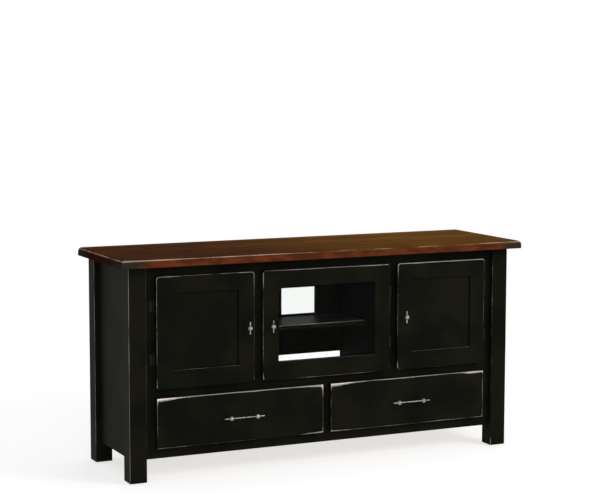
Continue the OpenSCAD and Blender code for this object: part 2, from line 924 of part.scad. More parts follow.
glazed_rails(-centre_x, centre_x);  // door_centre_rails
glazing(-centre_x, centre_x);  // door_centre_glass
glazing_beads(-centre_x, centre_x);  // door_centre_beads
knob(-centre_knob_x);  // door_centre_knob
door_hinges(centre_pivot_x, -1);  // door_centre_hinges
door_stiles(side_door_x, front_x, side_knob_x);  // door_right_stiles
door_rails(side_door_x, front_x);  // door_right_rails
door_panel(side_door_x, front_x);  // door_right_panel
knob(side_knob_x);  // door_right_knob
door_hinges(right_pivot_x, -1);  // door_right_hinges
drawer_front(-1);  // drawer_left_front
drawer_sides(-1);  // drawer_left_sides
drawer_ends(-1);  // drawer_left_ends
drawer_bottom(-1);  // drawer_left_bottom
drawer_pull(-1);  // drawer_left_pull
drawer_slides(-1);  // drawer_left_slides
drawer_front(1);  // drawer_right_front
drawer_sides(1);  // drawer_right_sides
drawer_ends(1);  // drawer_right_ends
drawer_bottom(1);  // drawer_right_bottom
drawer_pull(1);  // drawer_right_pull
drawer_slides(1);  // drawer_right_slides
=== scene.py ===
import math

import bmesh
import bpy
from mathutils import Matrix, Vector


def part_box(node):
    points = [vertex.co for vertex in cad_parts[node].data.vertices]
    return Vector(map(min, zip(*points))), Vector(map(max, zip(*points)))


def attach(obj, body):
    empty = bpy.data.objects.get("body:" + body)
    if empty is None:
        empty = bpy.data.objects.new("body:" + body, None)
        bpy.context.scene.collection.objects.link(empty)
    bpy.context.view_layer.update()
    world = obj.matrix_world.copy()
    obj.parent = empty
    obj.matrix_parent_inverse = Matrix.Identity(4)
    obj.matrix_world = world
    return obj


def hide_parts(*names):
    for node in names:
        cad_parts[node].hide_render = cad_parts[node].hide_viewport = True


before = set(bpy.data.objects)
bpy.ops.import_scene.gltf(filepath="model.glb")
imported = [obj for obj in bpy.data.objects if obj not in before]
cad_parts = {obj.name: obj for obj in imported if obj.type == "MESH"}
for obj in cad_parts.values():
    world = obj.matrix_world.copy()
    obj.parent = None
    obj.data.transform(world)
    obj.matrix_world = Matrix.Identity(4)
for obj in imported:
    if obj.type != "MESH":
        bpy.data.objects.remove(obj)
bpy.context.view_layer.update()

MM = 0.001
# Distance in mm of a side that nothing rubs
FAR_MM = 1000.0
# Points nearer to each other than this are the same point
HAIR = 0.01 * MM

# Sizes of the joinery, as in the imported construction
STILE_W = 58 * MM
UPPER_RAIL_H = 58 * MM
LOWER_RAIL_H = 62 * MM
PANEL_FRONT_SETBACK = 6.7 * MM
PANEL_TONGUE = 9 * MM
PANEL_BEVEL = 46 * MM
DOOR_MULLION_W = 52 * MM
DRAWER_MULLION_W = 50 * MM
BOX_WALL = 14 * MM

# Radii of the arrises, as hand and sandpaper have eased them
OUTER_ARRIS = 3.0 * MM
DOOR_CORNER = 8.0 * MM
POST_ARRIS = 2.4 * MM
FRAME_ARRIS = 1.5 * MM
INNER_ARRIS = 1.0 * MM
BOX_ARRIS = 1.5 * MM
TOP_ROUND = 13.0 * MM
TOP_BACK_ROUND = 3.0 * MM
TOP_MITRE = 1.5 * MM
TOP_UNDER_ARRIS = 1.2 * MM
PANEL_ARRIS = 1.5 * MM
# Facets along each round
ARRIS_FACETS = 4
FINE_FACETS = 3
CORNER_FACETS = 6
RIM_FACETS = 10
BALL_FACETS = 14
TURNED_FACETS = 32
# Faces that meet at more than this are a joint's crisp edge. Those of an eased arris turn by less
CREASE = math.radians(40)

# The camera: where the photographer stood, which way they looked, and the lens
CAMERA_PLACE = (-2.6212, -5.5065, 1.4111)
CAMERA_YAW = math.radians(25.323)
CAMERA_PITCH = math.radians(6.328)
CAMERA_ROLL = math.radians(0.084)
LENS_MM = 104.48
SENSOR_MM = 36.0
CAMERA_SHIFT_Y = -0.00325

# The sides of a board: the axis that each faces along, and whether it is the low or the high end
SIDES = {"left": (0, 0), "right": (0, 1), "front": (1, 0), "back": (1, 1), "bottom": (2, 0), "top": (2, 1)}
# The axis along which the wear of a side's edges changes
RUNS = {"left": 2, "right": 2, "front": 0, "back": 0, "bottom": 0, "top": 0}


# Materials

def linear(hex_colour):
    """An sRGB hex colour as the linear colour that a shader socket takes."""
    values = [int(hex_colour[i:i + 2], 16) / 255 for i in (1, 3, 5)]
    return [v / 12.92 if v <= 0.04045 else ((v + 0.055) / 1.055) ** 2.4 for v in values] + [1.0]


def add(tree, kind, sockets=None, out=0, **settings):
    """Adds a node with its settings, and its sockets set or linked, and returns one of its outputs."""
    made = tree.nodes.new("ShaderNode" + kind)
    for key, value in settings.items():
        setattr(made, key, value)
    for key, value in (sockets or {}).items():
        if isinstance(value, bpy.types.NodeSocket):
            tree.links.new(value, made.inputs[key])
        else:
            made.inputs[key].default_value = value
    return made.outputs[out]


# A colour Mix node has its two colours in these sockets, and its result in this one
MIX_A, MIX_B, MIX_OUT = 6, 7, 2

# How much the rubbed lacquers mirror, where new plastic has 0.5
PAINT_GLOSS = 0.012
TOP_GLOSS = 0.001
# How deep the brush marks and the wood's fibre are
GRAIN_DEPTH = 0.3 * MM
# Width of the boards that are glued edge to edge to make the top
TOP_BOARD_W = 86 * MM

# Wear is given for each side of a board, as one strength or as (place in mm, strength) pairs along it. On
# the paint 0.5 leaves hardly a trace, 1 a pale line along the arris, and 4 a wedge of bare wood about 5 mm
# wide. The pale line is worn wood and a painted highlight of the eased arris together. Going inwards from
# an arris at a strength of 1, these are the mm between which bare wood turns grey, grey turns to the coat's
# thin rusty rim, the rim turns black, and the dull sheen of wood turns to satin
BARE_ENDS = (0.7, 1.35)
GREY_ENDS = (1.9, 2.4)
RIM_ENDS = (2.3, 2.9)
SATIN_ENDS = (1.4, 2.4)
# On the top, the mm from a corner, along both sides together, between which the dark marks of hands end and
# between which its pale line, worn wood and painted highlight together, turns from grey to pale wood, and
# the mm from the arris, inwards and downwards together, between which that line ends
HANDS_ENDS = (45.0, 95.0)
PALE_ENDS = (60.0, 160.0)
LINE_ENDS = (7.5, 8.1)
# Depths below the top's face between which its redder edge passes to the face, and the marks of hands fade
EDGE_DEPTHS = (10.5 * MM, 4.5 * MM)
HANDS_DEPTHS = (12 * MM, 6 * MM)
# Half the width in mm of the change from the front edge's stain to the darker ends, at the mitres
MITRE_BLUR = 4.0
# Places along the top, in m, between which painted light and sheen turn its boards from reddish to golden
PAINTED_LIGHT_ENDS = (-0.5, 0.45)
# Depths inside the back's outer face between which its greyer painted light passes to the brushed black
LIT_BACK_DEPTHS = (3 * MM, 0.5 * MM)
# Distances before the doors and drawers between which the grey plate passes to the stems' painted shade
STEM_SHADE_REACHES = (16 * MM, 10 * MM)

# The pane bends and mirrors light less than real glass, which has 1.52 and 0.5
PANE_IOR = 1.08
PANE_GLOSS = 0.25


def new_material(name):
    """A material with an empty tree, that tree, and the object's own coordinates."""
    material = bpy.data.materials.new(name)
    material.use_nodes = True
    tree = material.node_tree
    tree.nodes.clear()
    return material, tree, add(tree, "TexCoord", out="Object")


def finish_material(tree, sockets):
    """Gives the tree its surface and its output."""
    surface = add(tree, "BsdfPrincipled", sockets)
    output = tree.nodes.new("ShaderNodeOutputMaterial")
    tree.links.new(surface, output.inputs["Surface"])


def mottle(tree, place, size_mm, detail=2.0, along="", stretch=1.0):
    """Blotches about size_mm across, drawn out stretch times along an axis, as wood grain is."""
    shares = [1 / stretch if axis == along else 1.0 for axis in "xyz"]
    drawn = add(tree, "VectorMath", {0: place, 1: shares}, operation="MULTIPLY")
    return add(tree, "TexNoise", {"Vector": drawn, "Scale": 1000.0 / size_mm, "Detail": detail})


def tones(tree, pattern, low, high, first, second):
    """A colour that passes from first to second as the pattern goes from low to high."""
    share = add(tree, "MapRange", {"Value": pattern, "From Min": low, "From Max": high},
                interpolation_type="SMOOTHSTEP")
    return add(tree, "Mix", {0: share, MIX_A: first, MIX_B: second}, MIX_OUT, data_type="RGBA")


def moved(tree, value, pattern, amount):
    """A value that a pattern moves by up to half of amount each way."""
    centred = add(tree, "Math", {0: pattern, 1: 0.5}, operation="SUBTRACT")
    return add(tree, "Math", {0: centred, 1: amount, 2: value}, operation="MULTIPLY_ADD")


def distance_to_sides(tree):
    """Distance in mm to the nearest rubbed side along x, y and z, from the marks on the mesh."""
    low = add(tree, "Attribute", out="Vector", attribute_name="low_mm")
    high = add(tree, "Attribute", out="Vector", attribute_name="high_mm")
    near = add(tree, "VectorMath", {0: low, 1: high}, operation="MINIMUM")
    return add(tree, "SeparateXYZ", {0: near}).node.outputs


def distance_to_arris(tree):
    """Distance in mm to the nearest rubbed arris of a front or back, less near a rubbed corner. Arrises that
    run from front to back are left alone, as hand and sandpaper don't reach them."""
    spread = add(tree, "Attribute", out="Fac", attribute_name="corner_mm")
    x, y, z = distance_to_sides(tree)
    upright = add(tree, "Math", {0: x, 1: y}, operation="ADD")
    level = add(tree, "Math", {0: z, 1: y}, operation="ADD")
    return add(tree, "Math", {0: upright, 1: level, 2: spread}, operation="SMOOTH_MIN")


def rubbed_paint(name, along):
    """Black lacquer brushed on maple, satin, and rubbed through at the arrises once it was dry.

    It gives a soft dark sheen with faint brush marks, a thin broken line on each arris that is greyed wood
    and a painted highlight of the eased edge together, raw pinkish wood where corners were rubbed hardest,
    and a rusty rim where the coat thins out."""
    material, tree, place = new_material(name)
    brush = mottle(tree, place, 4.0, 3.0, along, 18.0)
    cloud = mottle(tree, place, 160.0, 2.0)
    edge = distance_to_arris(tree)
    edge = moved(tree, edge, mottle(tree, place, 60.0, 1.0, along, 1.6), 1.5)
    edge = moved(tree, edge, mottle(tree, place, 8.0, 2.0), 0.6)
    black = tones(tree, cloud, 0.35, 0.65, linear("#0f100c"), linear("#17170f"))
    thin = tones(tree, edge, *RIM_ENDS, linear("#2a150e"), black)
    # The grey line is worn wood and a painted highlight of the eased arris together
    wear_and_highlight = tones(tree, edge, *GREY_ENDS, linear("#91908b"), thin)
    wood = tones(tree, brush, 0.3, 0.7, linear("#dcc8b8"), linear("#f4eae1"))
    colour = tones(tree, edge, *BARE_ENDS, wood, wear_and_highlight)
    coat = add(tree, "MapRange", {"Value": edge, "From Min": SATIN_ENDS[0], "From Max": SATIN_ENDS[1],
                                  "To Min": 0.7, "To Max": 0.45})
    bump = add(tree, "Bump", {"Strength": 0.15, "Distance": GRAIN_DEPTH, "Height": brush})
    finish_material(tree, {"Base Color": colour, "Roughness": moved(tree, coat, brush, 0.12), "Normal": bump,
                           "Specular IOR Level": PAINT_GLOSS})
    return material


def plain_paint(name):
    """The same black lacquer where nothing rubs it, on insides and shelves: duller, with fewer marks. The
    outer face of the back is a little greyer, with a fine streak: painted light that lifts that dim side."""
    material, tree, place = new_material(name)
    brush = mottle(tree, place, 4.0, 3.0, "x", 18.0)
    cloud = mottle(tree, place, 120.0, 2.0)
    brushed = tones(tree, cloud, 0.35, 0.65, linear("#0f100c"), linear("#16160f"))
    # Painted light: the back's outer face is made greyer so that it reads in the little light there
    lit_grey = tones(tree, brush, 0.3, 0.7, linear("#1c1c17"), linear("#272620"))
    _, inwards, _ = add(tree, "SeparateXYZ", {0: place}).node.outputs
    back_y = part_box("back_panel_left")[1].y
    outer = add(tree, "MapRange", {"Value": inwards, "From Min": back_y - LIT_BACK_DEPTHS[0],
                                   "From Max": back_y - LIT_BACK_DEPTHS[1]})
    colour = add(tree, "Mix", {0: outer, MIX_A: brushed, MIX_B: lit_grey}, MIX_OUT, data_type="RGBA")
    bump = add(tree, "Bump", {"Strength": 0.15, "Distance": GRAIN_DEPTH, "Height": brush})
    roughness = add(tree, "Math", {0: cloud, 1: 0.12, 2: 0.5}, operation="MULTIPLY_ADD")
    finish_material(tree, {"Base Color": colour, "Roughness": roughness, "Normal": bump,
                           "Specular IOR Level": PAINT_GLOSS})
    return material


def stained_wood(name):
    """Maple boards glued edge to edge, stained reddish brown, under a rubbed satin lacquer.

    It gives long streaks along the boards, a tone for each board, painted light that makes the top brighter
    and golden to the right, a blotchy redder front edge where the stain soaked in, darker ends, a pale line
    along the rounded arris that is paler wood and a painted highlight together, and dark handling marks at
    the corners."""
    material, tree, place = new_material(name)
    along, across, up = add(tree, "SeparateXYZ", {0: place}).node.outputs
    top_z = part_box("top")[1].z
    board = add(tree, "Math", {0: across, 1: TOP_BOARD_W}, operation="DIVIDE")
    board = add(tree, "Math", {0: board}, operation="FLOOR")
    board = add(tree, "TexWhiteNoise", {"W": board}, noise_dimensions="1D")
    fibre = mottle(tree, place, 5.0, 4.0, "x", 26.0)
    figure = mottle(tree, place, 34.0, 3.0, "x", 5.0)
    soak = mottle(tree, place, 24.0, 2.0, "x", 2.2)
    tone = add(tree, "Math", {0: board, 1: 0.35, 2: fibre}, operation="MULTIPLY_ADD")
    tone = add(tree, "Math", {0: figure, 1: 1.0, 2: tone}, operation="MULTIPLY_ADD")
    reddish = tones(tree, tone, 0.8, 1.6, linear("#301804"), linear("#4d290e"))
    golden_lit = tones(tree, tone, 0.8, 1.6, linear("#4b2f0a"), linear("#704817"))
    # Painted light: the top grows brighter and golden towards the right, as light and sheen fell on it
    face = tones(tree, along, *PAINTED_LIGHT_ENDS, reddish, golden_lit)
    soaked = tones(tree, soak, 0.35, 0.68, linear("#40210f"), linear("#70361d"))
    streaked = add(tree, "Mix", {0: fibre, MIX_A: soaked, MIX_B: linear("#4e2817")}, MIX_OUT,
                   data_type="RGBA")
    x, y, z = distance_to_sides(tree)
    ahead = add(tree, "Math", {0: y, 1: x}, operation="SUBTRACT")
    streaked = tones(tree, ahead, -MITRE_BLUR, MITRE_BLUR, streaked, linear("#2c160c"))
    colour = tones(tree, up, top_z - EDGE_DEPTHS[0], top_z - EDGE_DEPTHS[1], streaked, face)
    round_corner = add(tree, "Math", {0: x, 1: y}, operation="ADD")
    round_corner = moved(tree, round_corner, mottle(tree, place, 30.0, 2.0), 60.0)
    handled = tones(tree, round_corner, *HANDS_ENDS, linear("#2b2922"), colour)
    colour = tones(tree, up, top_z - HANDS_DEPTHS[0], top_z - HANDS_DEPTHS[1], handled, colour)
    edge = add(tree, "Math", {0: x, 1: y}, operation="MINIMUM")
    edge = add(tree, "Math", {0: edge, 1: z}, operation="ADD")
    edge = moved(tree, edge, mottle(tree, place, 60.0, 1.0, "x", 1.6), 0.8)
    edge = moved(tree, edge, mottle(tree, place, 6.0, 2.0), 0.5)
    # The pale line along the rounded arris is paler wood and a painted highlight of the round together
    line_wear_and_highlight = tones(tree, round_corner, *PALE_ENDS, linear("#86827a"), linear("#a98c7c"))
    colour = tones(tree, edge, *LINE_ENDS, line_wear_and_highlight, colour)
    bump = add(tree, "Bump", {"Strength": 0.2, "Distance": GRAIN_DEPTH, "Height": fibre})
    roughness = add(tree, "Math", {0: fibre, 1: 0.16, 2: 0.5}, operation="MULTIPLY_ADD")
    finish_material(tree, {"Base Color": colour, "Roughness": roughness, "Normal": bump,
                           "Specular IOR Level": TOP_GLOSS})
    return material


def pale_wood(name, along):
    """Planed maple under one coat of clear satin finish, as drawer boxes have: pale, with fine streaks."""
    material, tree, place = new_material(name)
    fibre = mottle(tree, place, 5.0, 4.0, along, 20.0)
    cloud = mottle(tree, place, 110.0, 2.0)
    wood = tones(tree, fibre, 0.32, 0.68, linear("#b9935f"), linear("#dabd8f"))
    colour = tones(tree, cloud, 0.3, 0.9, wood, linear("#c39a64"))
    bump = add(tree, "Bump", {"Strength": 0.15, "Distance": GRAIN_DEPTH, "Height": fibre})
    roughness = add(tree, "Math", {0: fibre, 1: 0.16, 2: 0.4}, operation="MULTIPLY_ADD")
    finish_material(tree, {"Base Color": colour, "Roughness": roughness, "Normal": bump})
    return material


def antique_nickel(name):
    """Cast zinc plated with nickel, blackened and rubbed back to a blotchy mid-grey.

    It gives blotchy grey balls and bars, and a foot and stem behind them painted nearly black as shade."""
    material, tree, place = new_material(name)
    patina = mottle(tree, place, 6.0, 3.0)
    rubbed = tones(tree, patina, 0.3, 0.7, linear("#6d6c68"), linear("#a5a4a0"))
    _, inwards, _ = add(tree, "SeparateXYZ", {0: place}).node.outputs
    front_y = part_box("drawer_left_front")[0].y
    # Painted shade: the foot and stem behind the balls turn nearly black
    colour = tones(tree, inwards, front_y - STEM_SHADE_REACHES[0], front_y - STEM_SHADE_REACHES[1], rubbed,
                   linear("#23221f"))
    roughness = add(tree, "Math", {0: patina, 1: 0.2, 2: 0.4}, operation="MULTIPLY_ADD")
    finish_material(tree, {"Base Color": colour, "Metallic": 1.0, "Roughness": roughness})
    return material


def bright_zinc(name):
    """Rolled steel with bright zinc plate, as runners and shelf pins have: pale, with a faint spangle."""
    material, tree, place = new_material(name)
    spangle = add(tree, "TexVoronoi", {"Vector": place, "Scale": 1000.0 / 9.0}, out="Color")
    tone = add(tree, "RGBToBW", {0: spangle})
    colour = tones(tree, tone, 0.0, 1.0, linear("#9b9fa3"), linear("#bdc0c2"))
    roughness = add(tree, "Math", {0: tone, 1: 0.12, 2: 0.32}, operation="MULTIPLY_ADD")
    finish_material(tree, {"Base Color": colour, "Metallic": 1.0, "Roughness": roughness})
    return material


def dark_bronze(name):
    """Steel hinges in dark bronze lacquer: nearly black, with a soft sheen where the lacquer has thinned."""
    material, tree, place = new_material(name)
    thin = mottle(tree, place, 8.0, 3.0)
    colour = tones(tree, thin, 0.4, 0.75, linear("#11110f"), linear("#24221d"))
    roughness = add(tree, "Math", {0: thin, 1: 0.2, 2: 0.35}, operation="MULTIPLY_ADD")
    finish_material(tree, {"Base Color": colour, "Metallic": 0.8, "Roughness": roughness})
    return material


def moulded(name, dark, light, least_roughness):
    """Moulded nylon or soft polyurethane: one dark colour, with the fine grain of the mould."""
    material, tree, place = new_material(name)
    mould = mottle(tree, place, 2.0, 2.0)
    colour = tones(tree, mould, 0.3, 0.7, linear(dark), linear(light))
    bump = add(tree, "Bump", {"Strength": 0.2, "Distance": 0.1 * MM, "Height": mould})
    roughness = add(tree, "Math", {0: mould, 1: 0.1, 2: least_roughness}, operation="MULTIPLY_ADD")
    finish_material(tree, {"Base Color": colour, "Roughness": roughness, "Normal": bump})
    return material


def float_glass(name):
    """Clear float glass, flat and polished, with the faint green of its iron and a trace of wiping haze.

    It lets the shelf and the opening show clearly, and hardly mirrors the white backdrop."""
    material, tree, place = new_material(name)
    haze = mottle(tree, place, 140.0, 2.0)
    roughness = add(tree, "MapRange", {"Value": haze, "From Min": 0.4, "From Max": 0.9, "To Max": 0.02})
    finish_material(tree, {"Base Color": linear("#f4f8f5"), "Roughness": roughness, "IOR": PANE_IOR,
                           "Transmission Weight": 1.0, "Specular IOR Level": PANE_GLOSS})
    return material


PAINT_UPRIGHT = rubbed_paint("black_lacquer_upright_grain", "z")
PAINT_LEVEL = rubbed_paint("black_lacquer_level_grain", "x")
PAINT_PLAIN = plain_paint("black_lacquer_unworn")
STAINED_TOP = stained_wood("stained_maple_satin_lacquer")
MAPLE_DEEP = pale_wood("clear_maple_grain_front_to_back", "y")
MAPLE_WIDE = pale_wood("clear_maple_grain_side_to_side", "x")
NICKEL = antique_nickel("antique_nickel_plate")
ZINC = bright_zinc("bright_zinc_plate")
BRONZE = dark_bronze("dark_bronze_lacquer")
NYLON = moulded("dark_moulded_nylon", "#18181a", "#232325", 0.5)
SOFT = moulded("dark_soft_polyurethane", "#26261f", "#34342d", 0.35)
GLASS = float_glass("clear_float_glass")


# Boards

def new_shape():
    """An empty bmesh whose vertices can carry the marks of wear."""
    bm = bmesh.new()
    bm.verts.layers.float_vector.new("low_mm")
    bm.verts.layers.float_vector.new("high_mm")
    bm.verts.layers.float.new("corner_mm")
    return bm


def bevel(bm, edges, radius, facets):
    """Rounds edges of a bmesh."""
    bmesh.ops.bevel(bm, geom=edges, offset=radius, affect="EDGES", segments=facets, profile=0.5, material=-1)


def cube_between(bm, low, high):
    """Adds a plain board between two corners."""
    size = Vector(high) - Vector(low)
    middle = (Vector(high) + Vector(low)) / 2
    bmesh.ops.create_cube(bm, size=1.0, matrix=Matrix.Translation(middle) @ Matrix.Diagonal((*size, 1.0)))


def cut_for_wear(bm, old, rub):
    """Cuts a board across wherever the wear of one of its edges changes, so that the marks can follow it."""
    for side, strength in rub.items():
        if not isinstance(strength, tuple):
            continue
        across = Vector([axis == RUNS[side] for axis in range(3)])
        for place_mm, _ in strength:
            verts = [v for v in bm.verts if v not in old]
            rest = [e for kind in (bm.edges, bm.faces) for e in kind if not old.intersection(e.verts)]
            bmesh.ops.bisect_plane(bm, geom=verts + rest, dist=HAIR, plane_co=across * place_mm * MM,
                                   plane_no=across)


def ease(bm, old, low, high, arris, turned):
    """Rounds the edges of a board. arris gives the radius on each side that is eased, and an edge takes the
    smaller radius of its two sides; a side that is left out is a joint and stays sharp. turned names the
    pairs of sides that meet in a wide round corner."""
    def depth(vertex, side):
        axis, end = SIDES[side]
        return abs(vertex.co[axis] - (low, high)[end][axis])

    def on_side(vertex, side):
        if depth(vertex, side) < HAIR:
            return True
        for pair in turned:
            first, second = [DOOR_CORNER - depth(vertex, other) for other in pair]
            on_round = abs(math.hypot(first, second) - DOOR_CORNER) < HAIR
            if side in pair and min(first, second) > 0 and on_round:
                return True
        return False

    def between(pairs):
        return [e for e in bm.edges if e.verts[0] not in old and any(
            all(on_side(v, a) and on_side(v, b) for v in e.verts) for a, b in pairs)]

    if turned:
        bevel(bm, between(turned), DOOR_CORNER, CORNER_FACETS)
    wanted = {}
    for first in arris:
        for second in arris:
            if SIDES[first][0] < SIDES[second][0] and (first, second) not in turned:
                wanted.setdefault(min(arris[first], arris[second]), []).append((first, second))
    for radius in sorted(wanted, reverse=True):
        bevel(bm, between(wanted[radius]), radius, ARRIS_FACETS)


def strength_at(strength, place_mm):
    """The strength of wear at a place along an edge, from one number or from (place, strength) pairs."""
    if not isinstance(strength, tuple):
        return strength
    below = [pair for pair in strength if pair[0] <= place_mm] or [strength[0]]
    above = [pair for pair in strength if pair[0] > place_mm] or [strength[-1]]
    (start, first), (end, second) = below[-1], above[0]
    share = (place_mm - start) / (end - start) if end > start else 0.0
    return first + (second - first) * share


def mark_wear(bm, old, low, high, rub, corners):
    """Writes how far each vertex is from the rubbed sides, in mm over the strength of the wear there, and
    how far wear spreads at the corners, in mm: bottom left, bottom right, top left, top right."""
    low_mm = bm.verts.layers.float_vector["low_mm"]
    high_mm = bm.verts.layers.float_vector["high_mm"]
    corner_mm = bm.verts.layers.float["corner_mm"]
    size = high - low
    for v in bm.verts:
        if v in old:
            continue
        ends = [[FAR_MM] * 3, [FAR_MM] * 3]
        for side, strength in rub.items():
            axis, end = SIDES[side]
            distance = abs(v.co[axis] - (low, high)[end][axis]) / MM
            ends[end][axis] = distance / strength_at(strength, v.co[RUNS[side]] / MM)
        v[low_mm] = Vector(ends[0])
        v[high_mm] = Vector(ends[1])
        u = (v.co.x - low.x) / size.x
        w = (v.co.z - low.z) / size.z
        lower = corners[0] * (1 - u) + corners[1] * u
        upper = corners[2] * (1 - u) + corners[3] * u
        v[corner_mm] = lower * (1 - w) + upper * w


def add_board(bm, low, high, arris, rub=None, corners=(0, 0, 0, 0), turned=()):
    """Adds one board with eased edges and its marks of wear."""
    low, high = Vector(low), Vector(high)
    old = set(bm.verts)
    cube_between(bm, low, high)
    cut_for_wear(bm, old, rub or {})
    ease(bm, old, low, high, arris, turned)
    mark_wear(bm, old, low, high, rub or {}, corners)


def make_piece(name, bm, body, slot, material, *nodes):
    """Turns a bmesh into a piece that rides on a body and stands for the named nodes."""
    mesh = bpy.data.meshes.new(name)
    bm.to_mesh(mesh)
    bm.free()
    mesh.materials.append(material)
    mesh.shade_smooth()
    mesh.set_sharp_from_angle(angle=CREASE)
    piece = bpy.data.objects.new(name, mesh)
    bpy.context.scene.collection.objects.link(piece)
    piece.modifiers.new("flat_faces_stay_flat", "WEIGHTED_NORMAL").keep_sharp = True
    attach(piece, body)
    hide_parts(*nodes)
    return piece


def make_boards(name, body, slot, material, node, parts):
    """A piece made of boards, one for each row of add_board's arguments in parts."""
    bm = new_shape()
    for row in parts:
        add_board(bm, *row)
    return make_piece(name, bm, body, slot, material, node)


def eased(radius, *joints, **other):
    """The same arris on every side of a board, apart from its joints and from the sides given."""
    return {side: other.get(side, radius) for side in SIDES if side not in joints}


# The top

def round_edges(bm, wanted, radius, facets):
    """Rounds the edges of a bmesh whose two ends are both wanted."""
    bevel(bm, [e for e in bm.edges if all(wanted(v.co) for v in e.verts)], radius, facets)


def make_top():
    """The top: a wide round along the front and the ends, a small one at the back, and crisp mitres."""
    low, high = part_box("top")
    bm = new_shape()
    cube_between(bm, low, high)
    back = [e for e in bm.edges if all(v.co.y > high.y - HAIR for v in e.verts)]
    rim = [e for e in bm.edges if e not in back and all(v.co.z > high.z - HAIR for v in e.verts)]
    bevel(bm, rim, TOP_ROUND, RIM_FACETS)
    round_edges(bm, lambda at: at.y > high.y - HAIR and at.z > high.z - TOP_ROUND - HAIR, TOP_BACK_ROUND,
                ARRIS_FACETS)
    for side in (-1, 1):
        round_edges(bm, lambda at: at.y < 0 and abs((high.x - side * at.x) - (at.y - low.y)) < HAIR,
                    TOP_MITRE, FINE_FACETS)
    round_edges(bm, lambda at: at.z < low.z + HAIR, TOP_UNDER_ARRIS, FINE_FACETS)
    rub = {"left": 1.0, "right": 1.0, "back": 0.95, "top": 1.0,
           "front": ((-758, 1.25), (-700, 1.1), (-620, 1.03), (-300, 0.99), (150, 0.93), (400, 0.93),
                     (700, 0.99), (758, 1.1))}
    cut_for_wear(bm, set(), rub)
    mark_wear(bm, set(), low, high, rub, (0, 0, 0, 0))
    make_piece("stained_top", bm, "root", "stained_top", STAINED_TOP, "top")


make_top()


# Posts, side panels and the face frame

# Strengths of the pale arris lines on each side of each post, worn wood and painted highlight together
POST_WEAR = {
    "front_left": {"left": ((2, 0.5), (480, 0.5), (600, 0.6), (722, 0.6)), "front": 1.0,
                   "right": ((2, 0.35), (330, 0.4), (345, 0.55), (392, 0.55), (408, 0.4), (722, 0.45)),
                   "back": 0.4, "bottom": 0.4},
    "front_right": {"left": ((2, 0.8), (22, 0.7), (40, 0.4), (380, 0.4), (528, 0.55), (722, 0.5)),
                    "front": 0.8, "right": 0.5, "back": 0.4, "bottom": 0.4},
    "back_left": {"left": 0.4, "front": 1.0, "right": 0.45, "back": 1.0, "bottom": 0.4},
    "back_right": {"left": 0.45, "front": 0.7, "right": 0.65, "back": 1.0, "bottom": 0.4},
}
for place, rub in POST_WEAR.items():
    low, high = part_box("post_" + place)
    make_boards("painted_post_" + place, "root", "black_paint", PAINT_UPRIGHT, "post_" + place,
                [(low, high, eased(POST_ARRIS, "top"), rub)])

for side in ("left", "right"):
    low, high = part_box("side_panel_" + side)
    make_boards("painted_side_panel_" + side, "root", "black_paint", PAINT_UPRIGHT, "side_panel_" + side,
                [(low, high, {"left": FRAME_ARRIS, "right": FRAME_ARRIS, "bottom": FRAME_ARRIS})])
    low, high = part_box("frame_stile_" + side)
    make_boards("painted_frame_stile_" + side, "root", "black_paint", PAINT_UPRIGHT, "frame_stile_" + side,
                [(low, high, {"front": FRAME_ARRIS, "bottom": FRAME_ARRIS})])

for rail in ("top", "middle", "bottom"):
    low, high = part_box(f"frame_{rail}_rail")
    make_boards(f"painted_{rail}_rail", "root", "black_paint", PAINT_LEVEL, f"frame_{rail}_rail",
                [(low, high, eased(FRAME_ARRIS, "left", "right"))])


def make_mullions():
    """The three uprights between the doors and between the drawers."""
    low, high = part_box("frame_mullions")
    drawer_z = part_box("frame_middle_rail")[0].z
    door_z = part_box("frame_middle_rail")[1].z
    half = DRAWER_MULLION_W / 2
    arris = eased(INNER_ARRIS, "top", "bottom")
    make_boards("painted_mullions", "root", "black_paint", PAINT_UPRIGHT, "frame_mullions", [
        ((low.x, low.y, door_z), (low.x + DOOR_MULLION_W, high.y, high.z), arris),
        ((high.x - DOOR_MULLION_W, low.y, door_z), high, arris),
        ((-half, low.y, low.z), (half, high.y, drawer_z), arris)])


make_mullions()

low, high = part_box("centre_shelf")
make_boards("painted_centre_shelf", "root", "black_paint", PAINT_LEVEL, "centre_shelf",
            [(low, high, eased(INNER_ARRIS),
              {"front": 1.0, "top": ((-242, 0.3), (60, 0.55), (242, 0.5))})])
for panel in ("left", "right", "lower"):
    low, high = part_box("back_panel_" + panel)
    make_boards("painted_back_panel_" + panel, "root", "black_paint", PAINT_PLAIN, "back_panel_" + panel,
                [(low, high, eased(INNER_ARRIS, "front"))])


# Doors

